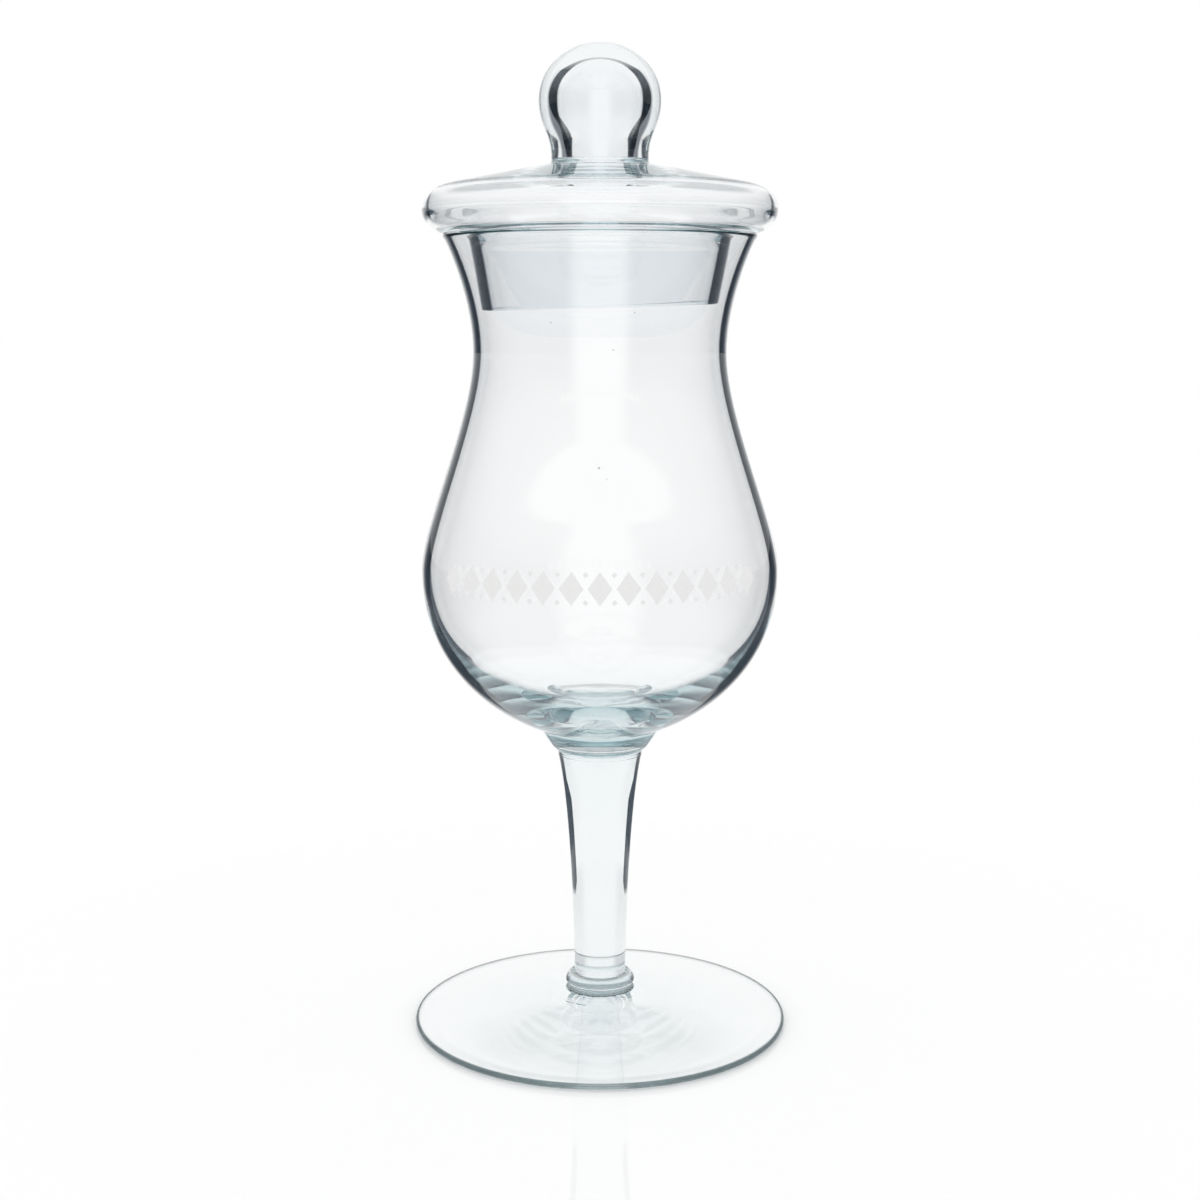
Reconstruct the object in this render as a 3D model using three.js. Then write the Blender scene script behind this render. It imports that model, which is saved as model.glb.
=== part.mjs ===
import * as THREE from "three";

// A covered schnapps glass: a tulip bowl on a drawn solid stem and a flat foot, and a hollow
// blown lid whose skirt hangs in the mouth of the bowl. Sizes are in millimetres and +Z is up.
// The glass stands on z = 0 and every piece is turned about the z axis.

// Foot: a shallow cone, hollow underneath, that stands on a ground ring near its edge
const FOOT_RADIUS = 37.5;
const FOOT_EDGE_THICKNESS = 1.3;
const FOOT_EDGE_ROUNDING = 0.4;
const FOOT_HEIGHT = 6.4;
const FOOT_MIDDLE_THICKNESS = 3.0;
const REST_RING_WIDTH = 3.0;
const REST_RING_INSET = 0.9;

// Collar: the bead that joins the foot to the stem
const COLLAR_HEIGHT = 3.4;
const COLLAR_BULGE = 1.8;
const COLLAR_LIP = 0.35;

// Stem: solid, waisted near its foot and widening into the bowl
const STEM_LENGTH = 45.5;
const STEM_FOOT_RADIUS = 5.15;
const STEM_TOP_RADIUS = 8.35;

// Bowl: heights are taken from the underside of its base
const BOWL_HEIGHT = 101.6;
const BOWL_LEDGE = 0.8;
const BOWL_LEDGE_HEIGHT = 0.55;
const BOWL_BUTTON_FLARE = 2.85;
const BOWL_BUTTON_HEIGHT = 5.4;
const BELLY_RADIUS = 34.95;
const BELLY_HEIGHT = 37.1;
const WAIST_RADIUS = 24.55;
const WAIST_HEIGHT = 79.8;
const RIM_RADIUS = 30.2;
const BOWL_WALL = 1.25;
const BOWL_FLOOR_THICKNESS = 7.3;

// Lid cover: heights are taken from the rim of the bowl, on which the lid rests
const FLANGE_OVERHANG = 3.8;
const FLANGE_WIDEST_HEIGHT = 5.05;
const FLANGE_SHOULDER_HEIGHT = 9.45;
const FLANGE_SHOULDER_INSET = 4.5;
const FLANGE_WALL = 0.85;
const SEAT_WALL = 1.2;
const COVER_HEIGHT = 14.1;
const CROWN_SPREAD = 3.85;
const CROWN_DROP = 1.3;
const CROWN_WALL = 1.9;

// Skirt: the ring of the lid that hangs in the mouth and keeps the lid centred
const SKIRT_LENGTH = 13.4;
const SKIRT_WALL = 2.1;
const SKIRT_TAPER = 2.5;
const SKIRT_CLEARANCE = 1.5;
const SKIRT_FILLET = 1.3;
const HOLLOW_DROP = 2.9;
const HOLLOW_SPREAD = 3.6;

// Knob: a hollow ball on a neck, open into the lid
const NECK_RADIUS = 9.3;
const NECK_WALL = 3.6;
const BALL_RADIUS = 11.65;
const BALL_WALL = 3.5;
const BALL_CENTRE_HEIGHT = 11.2;
const BALL_TOP_RISE = 10.6;
const BALL_TOP_WALL = 3.1;

// Facets round each turned piece
const WIDE_FACETS = 48;
const SLIM_FACETS = 32;

// Share of a quarter circle's span at which a Bezier handle lies
const ROUND = 0.5523;

const collarRadius = STEM_FOOT_RADIUS + COLLAR_BULGE;

const at = (radius, height) => new THREE.Vector2(radius, height);

// A curve from one point of an outline to another. Each handle is a pair of shares of the span,
// across and up, so the curve keeps its character when a size changes.
function bend(from, to, firstHandle, secondHandle, steps) {
  const place = ([across, up]) =>
    at(from.x + (to.x - from.x) * across, from.y + (to.y - from.y) * up);
  const curve = new THREE.CubicBezierCurve(from, place(firstHandle), place(secondHandle), to);
  return curve.getPoints(steps);
}

// A quarter of an ellipse that leaves its first point upwards or downwards
function dome(from, to, steps) {
  return bend(from, to, [0, ROUND], [1 - ROUND, 1], steps);
}

// Joins stretches of outline into one, leaving out the points that two stretches share
function outline(...stretches) {
  const points = stretches.flat();
  return points.filter((point, i) => i === 0 || point.distanceTo(points[i - 1]) > 1e-6);
}

function turned(name, points, facets, material) {
  const mesh = new THREE.Mesh(new THREE.LatheGeometry(points, facets), material);
  mesh.geometry.rotateX(Math.PI / 2);
  mesh.name = name;
  return mesh;
}

function clearGlass(color) {
  return new THREE.MeshStandardMaterial({ color, roughness: 0.03, metalness: 0 });
}

function makeFoot() {
  const middleZ = FOOT_HEIGHT - FOOT_MIDDLE_THICKNESS;
  const ringOuter = FOOT_RADIUS - REST_RING_INSET;
  const ringInner = ringOuter - REST_RING_WIDTH;
  const underside = bend(at(0, middleZ), at(ringInner, 0), [0.1, 0], [0.35, 0.55], 6);
  const topEdge = at(FOOT_RADIUS - FOOT_EDGE_ROUNDING, FOOT_EDGE_THICKNESS);
  const edge = [
    at(ringOuter, 0),
    at(FOOT_RADIUS, FOOT_EDGE_ROUNDING),
    at(FOOT_RADIUS, FOOT_EDGE_THICKNESS - FOOT_EDGE_ROUNDING),
    topEdge,
  ];
  const top = bend(topEdge, at(collarRadius, FOOT_HEIGHT), [0.38, 0.16], [0.75, 0.62], 6);
  const points = outline(underside, edge, top, [at(0, FOOT_HEIGHT)]);
  return turned("foot", points, WIDE_FACETS, clearGlass(0xe4efec));
}

function makeCollar() {
  const low = at(collarRadius - COLLAR_LIP, 0);
  const middle = at(collarRadius, COLLAR_HEIGHT / 2);
  const high = at(STEM_FOOT_RADIUS + COLLAR_LIP, COLLAR_HEIGHT);
  const side = outline(dome(low, middle, 2), dome(middle, high, 4));
  const points = outline([at(0, 0)], side, [at(0, COLLAR_HEIGHT)]);
  return turned("foot_collar", points, SLIM_FACETS, clearGlass(0xdbe8e4));
}

function makeStem() {
  const low = at(STEM_FOOT_RADIUS, 0);
  const high = at(STEM_TOP_RADIUS, STEM_LENGTH);
  const side = bend(low, high, [0.03, 0.29], [0.35, 0.79], 9);
  const points = outline([at(0, 0)], side, [at(0, STEM_LENGTH)]);
  return turned("stem", points, SLIM_FACETS, clearGlass(0xe9f1ef));
}

// The bowl's outside from its belly to its rim, and the same line moved in by the wall
function bowlUpper(inset) {
  const belly = at(BELLY_RADIUS - inset, BELLY_HEIGHT);
  const waist = at(WAIST_RADIUS - inset, WAIST_HEIGHT);
  const rim = at(RIM_RADIUS - inset, BOWL_HEIGHT);
  return outline(
    bend(belly, waist, [0, 0.21], [1, 0.7], 10),
    bend(waist, rim, [0, 0.34], [0.47, 0.72], 6),
  );
}

function makeBowl() {
  const ledgeRadius = STEM_TOP_RADIUS + BOWL_LEDGE;
  const button = at(ledgeRadius + BOWL_BUTTON_FLARE, BOWL_BUTTON_HEIGHT);
  const belly = at(BELLY_RADIUS, BELLY_HEIGHT);
  const innerBelly = at(BELLY_RADIUS - BOWL_WALL, BELLY_HEIGHT);
  const base = [at(0, 0), at(ledgeRadius, 0), at(ledgeRadius, BOWL_LEDGE_HEIGHT), button];
  const underside = bend(button, belly, [0.6, 0.17], [1, 0.515], 9);
  const inside = bowlUpper(BOWL_WALL).reverse();
  const floor = bend(innerBelly, at(0, BOWL_FLOOR_THICKNESS), [0, 0.78], [0.64, 0.93], 9);
  const points = outline(base, underside, bowlUpper(0), inside, floor);
  return turned("bowl", points, WIDE_FACETS, clearGlass(0xeef4f3));
}

// The narrowest radius that the bowl leaves between its rim and a depth below it
function mouthRadius(depth) {
  const wall = bowlUpper(BOWL_WALL);
  const tipHeight = BOWL_HEIGHT - depth;
  const first = wall.findIndex((point) => point.y > tipHeight);
  const share = (tipHeight - wall[first - 1].y) / (wall[first].y - wall[first - 1].y);
  const atTip = wall[first - 1].clone().lerp(wall[first], share);
  return Math.min(atTip.x, ...wall.slice(first).map((point) => point.x));
}

function makeLidCover() {
  const skirtTip = mouthRadius(SKIRT_LENGTH) - SKIRT_CLEARANCE;
  const skirtRoot = skirtTip + SKIRT_TAPER;
  const skirtSlope = SKIRT_TAPER / SKIRT_LENGTH;
  const flangeRadius = RIM_RADIUS + FLANGE_OVERHANG;
  const seatEdge = at(RIM_RADIUS - BOWL_WALL / 2, 0);
  const widest = at(flangeRadius, FLANGE_WIDEST_HEIGHT);
  const shoulder = at(flangeRadius - FLANGE_SHOULDER_INSET, FLANGE_SHOULDER_HEIGHT);
  const crown = at(NECK_RADIUS + CROWN_SPREAD, COVER_HEIGHT - CROWN_DROP);
  const neck = at(NECK_RADIUS, COVER_HEIGHT);
  const filletLow = at(skirtRoot - skirtSlope * SKIRT_FILLET, -SKIRT_FILLET);
  const filletHigh = at(skirtRoot + SKIRT_FILLET, 0);
  const skirt = outline(
    [at(skirtTip, -SKIRT_LENGTH)],
    bend(filletLow, filletHigh, [0.1, 0.6], [0.5, 1], 3),
  );
  const outside = outline(
    bend(seatEdge, widest, [0.89, 0.34], [1, 0.62], 6),
    bend(widest, shoulder, [0, 0.49], [0.38, 0.83], 5),
    bend(crown, neck, [0.9, 0.2], [0.98, 0.41], 4),
  );

  const boreTop = at(NECK_RADIUS - NECK_WALL, COVER_HEIGHT);
  const innerCrown = at(crown.x, crown.y - CROWN_WALL);
  const innerShoulder = at(shoulder.x, shoulder.y - FLANGE_WALL);
  const innerWidest = at(flangeRadius - FLANGE_WALL, FLANGE_WIDEST_HEIGHT);
  const innerSeat = at(seatEdge.x - FLANGE_WALL, SEAT_WALL);
  const hollowLow = at(skirtRoot - SKIRT_WALL - skirtSlope * HOLLOW_DROP, -HOLLOW_DROP);
  const hollowHigh = at(hollowLow.x + HOLLOW_SPREAD, SEAT_WALL);
  const inside = outline(
    bend(boreTop, innerCrown, [0.05, 0.5], [0.4, 0.9], 3),
    bend(innerShoulder, innerWidest, [0.62, 0.17], [1, 0.51], 5),
    bend(innerWidest, innerSeat, [0, 0.38], [0.4, 0.9], 4),
    bend(hollowHigh, hollowLow, [0.55, 0], [0.95, 0.45], 4),
    [at(skirtTip - SKIRT_WALL, -SKIRT_LENGTH)],
  );
  const points = outline(skirt, outside, inside, [skirt[0]]);
  return turned("lid_cover", points, WIDE_FACETS, clearGlass(0xe6f0ee));
}

// One wall of the knob, from its neck to the top of its ball
function knobWall(neckRadius, ballRadius, topRise) {
  const ball = at(ballRadius, BALL_CENTRE_HEIGHT);
  return outline(
    bend(at(neckRadius, 0), ball, [-0.1, 0.47], [0.98, 0.52], 7),
    dome(ball, at(0, BALL_CENTRE_HEIGHT + topRise), 6),
  );
}

function makeKnob() {
  const outside = knobWall(NECK_RADIUS, BALL_RADIUS, BALL_TOP_RISE);
  const cavityRise = BALL_TOP_RISE - BALL_TOP_WALL;
  const cavity = knobWall(NECK_RADIUS - NECK_WALL, BALL_RADIUS - BALL_WALL, cavityRise);
  const points = outline(cavity.reverse(), outside);
  return turned("lid_knob", points, SLIM_FACETS, clearGlass(0xe1ecea));
}

const goblet = new THREE.Group();
const foot = makeFoot();
const collar = makeCollar();
collar.position.z = FOOT_HEIGHT;
const stem = makeStem();
stem.position.z = collar.position.z + COLLAR_HEIGHT;
const bowl = makeBowl();
bowl.position.z = stem.position.z + STEM_LENGTH;
goblet.add(foot, collar, stem, bowl);

const lid = new THREE.Group();
lid.position.z = bowl.position.z + BOWL_HEIGHT;
const cover = makeLidCover();
const knob = makeKnob();
knob.position.z = COVER_HEIGHT;
lid.add(cover, knob);

const coveredGlass = new THREE.Group();
coveredGlass.add(goblet, lid);

export default coveredGlass;
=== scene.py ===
"""A covered schnapps glass: a blown tulip bowl on a drawn stem and foot, under a hollow blown lid.

Sizes are in millimetres, measured up from the table, and turn to metres where a mesh is made.
Each piece is its own closed solid. Where the glassmaker fused two pieces, the faces that meet
let light straight through, so that the glass reads as one body, as fused glass does.
"""

from __future__ import annotations

import logging
import math
from dataclasses import astuple, dataclass, field
from enum import Enum

import bmesh
import bpy
from mathutils import Matrix, Vector, noise
from mathutils.geometry import interpolate_bezier


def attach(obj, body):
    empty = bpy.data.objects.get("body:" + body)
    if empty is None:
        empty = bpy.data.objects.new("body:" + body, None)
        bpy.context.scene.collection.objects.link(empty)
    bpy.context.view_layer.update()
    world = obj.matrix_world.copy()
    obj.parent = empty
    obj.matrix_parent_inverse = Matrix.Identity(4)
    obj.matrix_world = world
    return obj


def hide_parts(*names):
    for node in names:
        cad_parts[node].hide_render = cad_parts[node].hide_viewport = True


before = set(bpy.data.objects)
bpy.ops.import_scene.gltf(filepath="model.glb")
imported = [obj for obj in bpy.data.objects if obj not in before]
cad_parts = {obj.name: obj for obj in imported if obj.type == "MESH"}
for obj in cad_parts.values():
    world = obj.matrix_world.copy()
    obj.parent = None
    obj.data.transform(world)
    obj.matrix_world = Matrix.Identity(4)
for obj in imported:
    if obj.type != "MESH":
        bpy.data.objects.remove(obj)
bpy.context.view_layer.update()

MM = 0.001

# The levels and radii at which two pieces meet.
FOOT_TOP = 6.4
COLLAR_TOP = 9.8
STEM_TOP = 55.3
BOWL_RIM = 156.9
COVER_TOP = 171.0
COLLAR_RADIUS = 6.95
STEM_FOOT_RADIUS = 5.15
STEM_TOP_RADIUS = 8.35
RIM_RADIUS = 30.2
WALL = 1.25
NECK_RADIUS = 9.3
NECK_WALL = 3.6
JOINT_GAP = 0.01

# How finely a section is turned, and where a bend counts as a corner.
TURN_STEPS = 160
LONGEST_STEP = 1.0
CORNER_ANGLE = math.radians(26)
CORNER_SEGMENTS = 3
CORNER_MARGIN = 1.25
LARGEST_MARGIN = 0.4
ROUND = 0.5523
SAME_POINT = 1e-5
SAME_VERTEX = 1e-7
SAME_LEVEL = 1e-3
LEVEL_NORMAL = 0.999

# Facing values that no wall reaches, for a band of painted shade that covers a wall all over or
# runs to its edge, and where the band of a wall without one would start.
ALL_OVER = -1.0
PAST_EDGE = 1.5
BANDLESS_START = 0.9
SOFT_EDGE = 0.02

# The camera stands this far in front of the axis and this high over the table.
CAMERA_DISTANCE = 363.45
CAMERA_HEIGHT = 142.73

# How often light may turn: it passes many walls, and is mirrored to and fro in the thick base.
ALL_BOUNCES = 96
PASSING_BOUNCES = 32
MIRRORED_BOUNCES = 80

log = logging.getLogger("covered_glass")

Point = tuple[float, float]
Share = tuple[float, float]
Colour = tuple[float, float, float, float]


def linear(hex_code: str) -> Colour:
    """Turns an sRGB hex value to a linear colour.

    Args:
        hex_code: six hex digits, such as "e4efec".

    Returns:
        Red, green, blue and alpha for a shader's socket.
    """
    channels = [int(hex_code[i : i + 2], 16) / 255 for i in (0, 2, 4)]
    curve = [c / 12.92 if c <= 0.04045 else ((c + 0.055) / 1.055) ** 2.4 for c in channels]
    return (*curve, 1.0)


WHITE = linear("ffffff")


def add_node(tree: bpy.types.NodeTree, kind: str, settings: dict, links: dict) -> bpy.types.Node:
    """Adds a node with its settings and links.

    Args:
        tree: the node tree that gets the node.
        kind: the node's type name in Blender.
        settings: a value for each property, or for each input socket by name or number.
        links: an output socket for each input socket, by name or number.

    Returns:
        The new node.
    """
    node = tree.nodes.new(kind)
    for key, value in settings.items():
        if isinstance(key, str) and hasattr(node, key):
            setattr(node, key, value)
        else:
            node.inputs[key].default_value = value
    for key, source in links.items():
        tree.links.new(source, node.inputs[key])
    return node


def new_material(name: str) -> bpy.types.Material:
    """Starts a material with an empty node tree.

    Args:
        name: what the material is called.

    Returns:
        The new material.
    """
    made = bpy.data.materials.new(name)
    made.use_nodes = True
    made.node_tree.nodes.clear()
    return made


def place_mesh(shape: bmesh.types.BMesh, name: str, mesh_name: str) -> bpy.types.Object:
    """Turns a finished bmesh to an object at the origin of the scene, and frees the bmesh.

    Args:
        shape: the finished mesh, in metres.
        name: what the object is called.
        mesh_name: what its mesh is called.

    Returns:
        The new object.
    """
    mesh = bpy.data.meshes.new(mesh_name)
    shape.to_mesh(mesh)
    shape.free()
    placed = bpy.data.objects.new(name, mesh)
    bpy.context.scene.collection.objects.link(placed)
    return placed


@dataclass(frozen=True)
class Curve:
    """How a stretch of an outline bends: two handles, as shares of its span across and up."""

    first: Share
    second: Share
    steps: int


def bend(start: Point, end: Point, curve: Curve) -> list[Point]:
    """Draws one curved stretch of an outline.

    Args:
        start: radius and height of its first point.
        end: radius and height of its last point.
        curve: its handles, and how many straight pieces stand for it.

    Returns:
        The points of the curve, both ends included.
    """
    knots = [
        Vector((start[0] + (end[0] - start[0]) * across, start[1] + (end[1] - start[1]) * up, 0))
        for across, up in ((0, 0), curve.first, curve.second, (1, 1))
    ]
    return [(p.x, p.y) for p in interpolate_bezier(*knots, curve.steps + 1)]


def dome(start: Point, end: Point, steps: int) -> list[Point]:
    """Draws a quarter of an ellipse that leaves its first point upwards or downwards."""
    return bend(start, end, Curve((0, ROUND), (1 - ROUND, 1), steps))


def outline(*stretches: list[Point]) -> list[Point]:
    """Joins stretches of outline.

    Args:
        *stretches: the points of each stretch, in order.

    Returns:
        All the points, with those that two stretches share left in once.
    """
    points: list[Point] = []
    for point in (p for stretch in stretches for p in stretch):
        if not points or math.dist(point, points[-1]) > SAME_POINT:
            points.append(point)
    return points


def refine(points: list[Point], closed: bool, corner: float, longest: float) -> list[Point]:
    """Adds points to an outline, so that smooth shading stays true beside its corners.

    Args:
        points: the outline.
        closed: whether its last point joins its first.
        corner: how far the corners will be rounded.
        longest: the longest straight piece that is left.

    Returns:
        The outline with a point close to each corner on both sides, and long pieces divided.
    """
    count = len(points)
    sharp = set()
    for i in range(count) if closed else range(1, count - 1):
        before = Vector(points[i]) - Vector(points[i - 1])
        after = Vector(points[(i + 1) % count]) - Vector(points[i])
        if before.angle(after) > CORNER_ANGLE:
            sharp.add(i)
    fine: list[Point] = []
    for i in range(count if closed else count - 1):
        start, end = Vector(points[i]), Vector(points[(i + 1) % count])
        length = (end - start).length
        parts = max(1, math.ceil(length / longest))
        stops = {step / parts for step in range(parts)}
        margin = CORNER_MARGIN * corner / length
        if i in sharp and margin < LARGEST_MARGIN:
            stops.add(margin)
        if (i + 1) % count in sharp and margin < LARGEST_MARGIN:
            stops.add(1 - margin)
        fine += [tuple(start.lerp(end, stop)) for stop in sorted(stops)]
    return fine if closed else fine + [points[-1]]


def radius_at(line: list[Point], height: float) -> float:
    """Reads the radius of an outline at a height.

    Args:
        line: points whose heights rise.
        height: the height to read at.

    Returns:
        The radius there, or the nearest end's radius outside the line.
    """
    if height <= line[0][1]:
        return line[0][0]
    for (r0, z0), (r1, z1) in zip(line, line[1:]):
        if height <= z1:
            return r0 + (r1 - r0) * (height - z0) / max(z1 - z0, 1e-9)
    return line[-1][0]


def facing_at(share: float) -> float:
    """Turns a distance from a ball's middle, as a share of its radius, to Layer Weight's facing."""
    return 1 - math.sqrt(max(0.0, 1 - min(share, 1.0) ** 2))


def facing_beside(share: float, normal_rise: float, height: float) -> float:
    """Gives Layer Weight's facing value of a turned wall at a distance beside the axis.

    Args:
        share: the distance from the axis, as a share of the wall's radius.
        normal_rise: the upward part of the wall's normal.
        height: the height of the point over the table.

    Returns:
        The facing value that the studio's camera sees there.
    """
    fall = math.atan2(CAMERA_HEIGHT - height, CAMERA_DISTANCE)
    level = math.sqrt(max(0.0, 1 - normal_rise**2))
    front = math.sqrt(max(0.0, 1 - min(share, 1.0) ** 2))
    return 1 - abs(level * front * math.cos(fall) + normal_rise * math.sin(fall))


class Side(Enum):
    """Which wall of a piece a point lies on."""

    OUTER = 1
    INNER = -1


@dataclass(frozen=True)
class PaintedShadeBand:
    """The band of painted shade that a wall shows at one height over its piece's base.

    It runs from start to end, as shares of the radius. A start of 0 is all over, and an end over
    1 is the edge itself. Softness is how slowly it sets in, in steps of the facing value. The
    shares hold for the photo's camera: from another height the band is wider or narrower.
    """

    height: float
    start: float
    end: float = 1.1
    strength: float = 1.0
    softness: float = SOFT_EDGE


def band_at(knots: tuple[PaintedShadeBand, ...], height: float) -> PaintedShadeBand:
    """Blends the two bands below and above a height.

    Args:
        knots: bands whose heights rise.
        height: the height to read at.

    Returns:
        The band there, or the nearest one outside the knots.
    """
    if height <= knots[0].height:
        return knots[0]
    for low, high in zip(knots, knots[1:]):
        if height <= high.height:
            share = (height - low.height) / (high.height - low.height)
            mixed = [a + (b - a) * share for a, b in zip(astuple(low), astuple(high))]
            return PaintedShadeBand(*mixed)
    return knots[-1]


@dataclass(frozen=True)
class ClearGlass:
    """Soda-lime glass, blown or drawn and fire polished: clear, and teal only where it is deep.

    Its surface gives the eye sharp lights and a charcoal line along every wall, partly mirrored and
    partly painted shade: the wall mirrors the dark flags beside the glass there, and the glass's
    colour is darkened there as well, a painted shade set by how steeply the wall is seen: where a
    line lies and how dark it is was matched to the photo. Long shallow waves, drawn out along the
    axis, and a trace of dullness on their crests tell that a hand made it.
    """

    name: str = "clear_soda_glass"
    ior: float = 1.5
    fused_ior: float = 1.0
    roughness: float = 0.01
    dull_from: float = 0.55
    dull_full: float = 0.75
    wave_length: float = 16.0
    wave_height: float = 0.03
    wave_stretch: float = 0.4
    wave_detail: float = 1.0
    wave_roughness: float = 0.4
    depth_hex: str = "00a4af"
    depth_density: float = 7.5
    # The colour of the painted shade along the walls.
    painted_shade_hex: str = "10161c"

    def painted_edge_shade(
        self, tree: bpy.types.NodeTree, fused: bpy.types.NodeSocket
    ) -> bpy.types.NodeSocket:
        """Paints shade on the wall: darkens its colour where its band lies, and leaves a fused face
        clear.

        Args:
            tree: the material's node tree.
            fused: 1 on a face that meets another piece.

        Returns:
            The colour that the wall gives the light that passes, with the painted shade in it.
        """
        weight = add_node(tree, "ShaderNodeLayerWeight", {"Blend": 0.5}, {})
        facing = weight.outputs["Facing"]
        start, end, softness, strength = (
            add_node(
                tree, "ShaderNodeAttribute", {"attribute_name": f"band_{name}"}, {}
            ).outputs["Fac"]
            for name in ("start", "end", "softness", "strength")
        )
        rise_to = add_node(tree, "ShaderNodeMath", {"operation": "ADD"}, {0: start, 1: softness})
        rise = add_node(
            tree,
            "ShaderNodeMapRange",
            {"interpolation_type": "SMOOTHSTEP"},
            {"Value": facing, "From Min": start, "From Max": rise_to.outputs[0]},
        )
        fall_to = add_node(tree, "ShaderNodeMath", {"operation": "ADD", 1: SOFT_EDGE}, {0: end})
        fall = add_node(
            tree,
            "ShaderNodeMapRange",
            {"interpolation_type": "SMOOTHSTEP", "To Min": 1.0, "To Max": 0.0},
            {"Value": facing, "From Min": end, "From Max": fall_to.outputs[0]},
        )
        within = add_node(
            tree,
            "ShaderNodeMath",
            {"operation": "MULTIPLY"},
            {0: rise.outputs["Result"], 1: fall.outputs["Result"]},
        )
        weighed = add_node(
            tree, "ShaderNodeMath", {"operation": "MULTIPLY"}, {0: within.outputs[0], 1: strength}
        )
        dark = add_node(
            tree,
            "ShaderNodeMapRange",
            {"To Max": 0.0},
            {"Value": fused, "To Min": weighed.outputs[0]},
        )
        # The painted shade: the glass's colour turns from white to the dark shade colour within the
        # band.
        tint = add_node(
            tree,
            "ShaderNodeMix",
            {"data_type": "RGBA", 6: WHITE, 7: linear(self.painted_shade_hex)},
            {0: dark.outputs["Result"]},
        )
        return tint.outputs[2]

    def hand_waves(self, tree: bpy.types.NodeTree) -> bpy.types.NodeSocket:
        """Draws the long waves of a hand-made wall.

        Args:
            tree: the material's node tree.

        Returns:
            The height of the waves, from 0 to 1.
        """
        place = add_node(tree, "ShaderNodeTexCoord", {}, {})
        drawn = add_node(
            tree,
            "ShaderNodeMapping",
            {"Scale": (1.0, 1.0, self.wave_stretch)},
            {"Vector": place.outputs["Object"]},
        )
        waves = add_node(
            tree,
            "ShaderNodeTexNoise",
            {
                "Scale": 1 / (self.wave_length * MM),
                "Detail": self.wave_detail,
                "Roughness": self.wave_roughness,
            },
            {"Vector": drawn.outputs[0]},
        )
        return waves.outputs["Fac"]

    def material(self) -> bpy.types.Material:
        """Builds the material, once for all the pieces that share it.

        Returns:
            The glass.
        """
        found = bpy.data.materials.get(self.name)
        if found:
            return found
        made = new_material(self.name)
        tree = made.node_tree
        meets = add_node(tree, "ShaderNodeAttribute", {"attribute_name": "fused"}, {})
        fused = meets.outputs["Fac"]
        bending = add_node(
            tree,
            "ShaderNodeMapRange",
            {"To Min": self.ior, "To Max": self.fused_ior},
            {"Value": fused},
        )
        waves = self.hand_waves(tree)
        ripple = add_node(
            tree,
            "ShaderNodeBump",
            {"Strength": 1.0, "Distance": self.wave_height * MM},
            {"Height": waves},
        )
        dulled = add_node(
            tree,
            "ShaderNodeMapRange",
            {"From Min": self.dull_from, "From Max": self.dull_full, "To Max": self.roughness},
            {"Value": waves},
        )
        glass = add_node(
            tree,
            "ShaderNodeBsdfPrincipled",
            {"Transmission Weight": 1.0},
            {
                "Base Color": self.painted_edge_shade(tree, fused),
                "Roughness": dulled.outputs["Result"],
                "IOR": bending.outputs["Result"],
                "Normal": ripple.outputs[0],
            },
        )
        depth = add_node(
            tree,
            "ShaderNodeVolumeAbsorption",
            {"Color": linear(self.depth_hex), "Density": self.depth_density},
            {},
        )
        add_node(
            tree,
            "ShaderNodeOutputMaterial",
            {},
            {"Surface": glass.outputs[0], "Volume": depth.outputs[0]},
        )
        return made


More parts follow.
